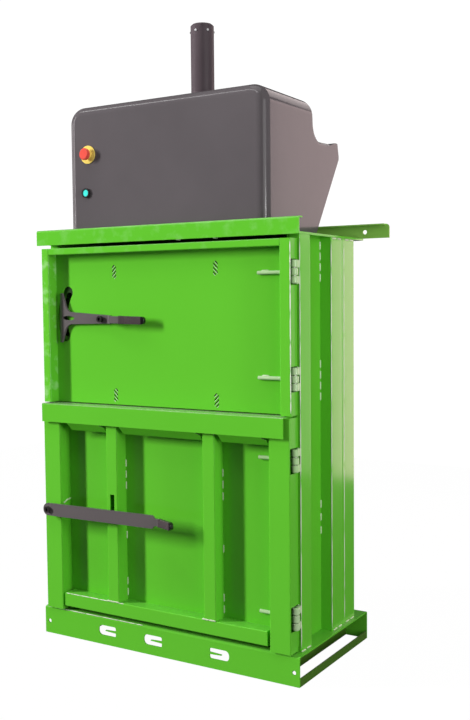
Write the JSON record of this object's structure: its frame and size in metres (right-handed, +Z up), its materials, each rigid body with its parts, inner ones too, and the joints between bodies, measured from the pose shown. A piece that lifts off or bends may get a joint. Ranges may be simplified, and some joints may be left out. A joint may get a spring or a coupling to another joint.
{
  "type": "recycling baler",
  "caption": "Upright hydraulic baler with a folded sheet-metal press box, an upper loading door, a lower bale door, lever latches and a moulded hood over the pump and cylinder.",
  "frame": {"origin": "on the floor at the centre of the machine's footprint, taken over everything that sticks out in plan", "axes": "+Z up, +X to the operator's right when facing the doors, +Y from the doors to the back"},
  "size_m": [1.1, 0.5668, 1.965],
  "materials": {
    "green": "powder coat, smooth, semi-gloss",
    "hood": "moulded plastic, glossy",
    "grey": "powder coat, semi-gloss",
    "grip": "dipped vinyl, matt",
    "steel": "plated, satin",
    "chrome": "hard chrome, polished",
    "cast": "painted casting, matt",
    "hose": "matt rubber",
    "red": "glossy",
    "yellow": "glossy",
    "lens": "glossy, lit from behind",
    "black": "matt",
    "tank": "painted, satin"
  },
  "bodies": {
    "machine": {"bale_keeper": "steel", "base_front_plate": "green", "base_rails": "green", "base_rear_plate": "green", "cap_end_pipe": "steel", "chamber_floor": "green", "control_box": "black", "cover_cap": "black", "cover_screws": "steel", "cover_tube": "grey", "cylinder_barrel": "cast", "cylinder_bolts": "steel", "cylinder_gland": "steel", "front_header": "green", "hinge_body_halves": "green", "hinge_pins": "steel", "hood": "hood", "hoses": "hose", "loading_keeper": "grey", "oil_tank": "tank", "post_left": "green", "post_right": "green", "pump_motor": "cast", "rear_header": "green", "rear_ribs": "green", "rear_wall": "green", "roof_plate": "green", "side_ribs_left": "green", "side_ribs_right": "green", "side_sheet_left": "green", "side_sheet_right": "green", "start_button_bezel": "black", "stop_button_plate": "yellow", "tank_lid": "tank", "valve_block": "steel"},
    "loading_door": {"loading_door_panel": "green", "loading_door_stile_left": "green", "loading_door_stile_right": "green", "loading_door_rails": "green", "loading_door_hinge_halves": "green", "loading_pivot_bolt": "steel"},
    "loading_latch": {"loading_lever": "grey", "loading_lever_grip": "grip", "loading_catch_pin": "steel"},
    "bale_door": {"bale_door_panel": "green", "bale_door_stile_left": "green", "bale_door_stile_right": "green", "bale_door_stiffeners": "green", "bale_door_top_rail": "green", "bale_door_bottom_rail": "green", "bale_door_hinge_halves": "green"},
    "bale_latch": {"bale_lever": "grey", "bale_lever_grip": "grip", "bale_latch_shaft": "steel"},
    "ram": {"ram_piston": "steel", "ram_rod": "chrome", "platen": "green", "platen_ribs": "green"},
    "stop_button": {"stop_button_head": "red"},
    "start_button": {"start_button_lens": "lens"}
  },
  "joints": [
    {"name": "loading_door_hinge", "type": "hinge", "parent": "machine", "child": "loading_door", "pos_m": [0.453, -0.2045, 1.016], "axis": [0, 0, 1], "range_deg": [0, 115]},
    {"name": "bale_door_hinge", "type": "hinge", "parent": "machine", "child": "bale_door", "pos_m": [0.453, -0.2045, 0.415], "axis": [0, 0, 1], "range_deg": [0, 115]},
    {"name": "loading_latch_pivot", "type": "hinge", "parent": "loading_door", "child": "loading_latch", "pos_m": [-0.24, -0.1925, 1.035], "axis": [0, 1, 0], "range_deg": [-18, 25]},
    {"name": "bale_latch_pivot", "type": "hinge", "parent": "bale_door", "child": "bale_latch", "pos_m": [-0.4245, -0.25, 0.421], "axis": [0, -1, 0], "range_deg": [0, 40]},
    {"name": "ram_stroke", "type": "slide", "parent": "machine", "child": "ram", "axis": [0, 0, -1], "range_m": [0, 0.55]},
    {"name": "stop_button_push", "type": "slide", "parent": "machine", "child": "stop_button", "axis": [0, 1, 0], "range_m": [0, 0.004]},
    {"name": "start_button_push", "type": "slide", "parent": "machine", "child": "start_button", "axis": [0, 1, 0], "range_m": [0, 0.0025], "stiffness_N_per_m": 800}
  ]
}
